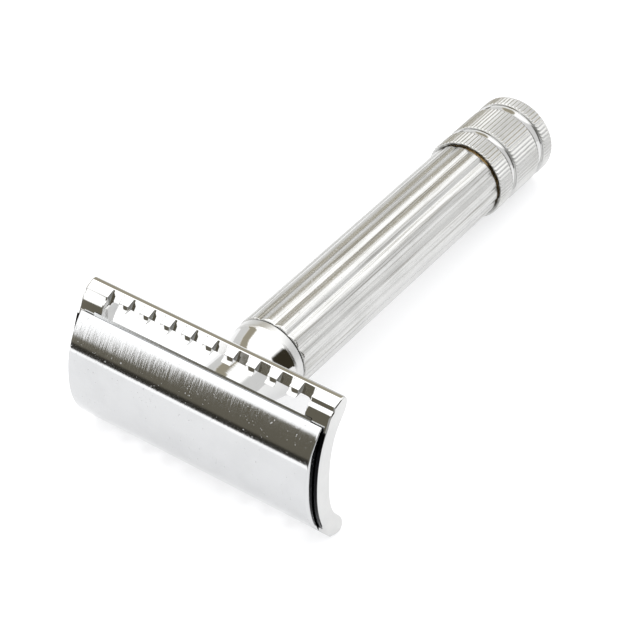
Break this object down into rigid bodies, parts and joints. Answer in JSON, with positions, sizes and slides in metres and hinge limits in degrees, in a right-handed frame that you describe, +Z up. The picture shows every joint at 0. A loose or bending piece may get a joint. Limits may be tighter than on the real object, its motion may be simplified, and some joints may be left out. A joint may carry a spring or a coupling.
{
  "type": "double-edge safety razor",
  "caption": "Safety razor with a curved cap over a notched guard, a reeded handle and a knurled twist knob that opens the head.",
  "frame": {"origin": "middle of the footprint, on the plane the razor lies on", "axes": "+X along the head, +Y from the head to the knob, +Z up; the handle slopes down towards the knob by 4.1 degrees because the razor lies on its lower safety bar and its knob rim"},
  "size_m": [0.043, 0.0888, 0.0254],
  "materials": {
    "satin_chrome": "satin plated, fine lines along the piece",
    "polished_chrome": "polished plated",
    "knurled_chrome": "plated over straight knurling",
    "steel": "turned",
    "blade_steel": "ground thin strip",
    "brass": "turned, unplated",
    "spring_steel": "dark temper"
  },
  "bodies": {
    "handle": {"guard_plate": "polished_chrome", "guard_sleeve": "brass", "neck_collar": "polished_chrome", "handle_tube": "satin_chrome", "front_bushing": "brass", "rear_bushing": "brass", "thrust_washer": "spring_steel"},
    "knob": {"draw_nut": "brass", "nut_pin": "steel", "draw_rod": "steel", "rod_clip": "spring_steel", "spring_washer": "spring_steel", "knob_core": "brass", "knob_front_ring": "knurled_chrome", "knob_front_spacer": "polished_chrome", "knob_grip_band": "knurled_chrome", "knob_rear_spacer": "polished_chrome", "knob_end_ring": "knurled_chrome", "knob_pin": "steel", "knob_end_plug": "polished_chrome"},
    "cap": {"cap": "satin_chrome", "cap_stud": "polished_chrome", "cap_post_left": "polished_chrome", "cap_post_right": "polished_chrome"},
    "blade": {"blade": "blade_steel"}
  },
  "joints": [
    {"name": "knob_turn", "type": "hinge", "parent": "handle", "child": "knob", "pos_m": [0, 0.03544, 0.00747], "axis": [0, 0.9974, -0.0723], "range_deg": [0, 2700]},
    {"name": "cap_lift", "type": "slide", "parent": "handle", "child": "cap", "axis": [0, -0.9974, 0.0723], "range_m": [0, 0.006]},
    {"name": "blade_lift", "type": "slide", "parent": "handle", "child": "blade", "axis": [0, -0.9974, 0.0723], "range_m": [0, 0.003]}
  ],
  "couplings": [
    {"joint": "cap_lift", "follows": "knob_turn", "m_per_rad": 0.00012732},
    {"joint": "blade_lift", "follows": "knob_turn", "m_per_rad": 0.000063662}
  ]
}
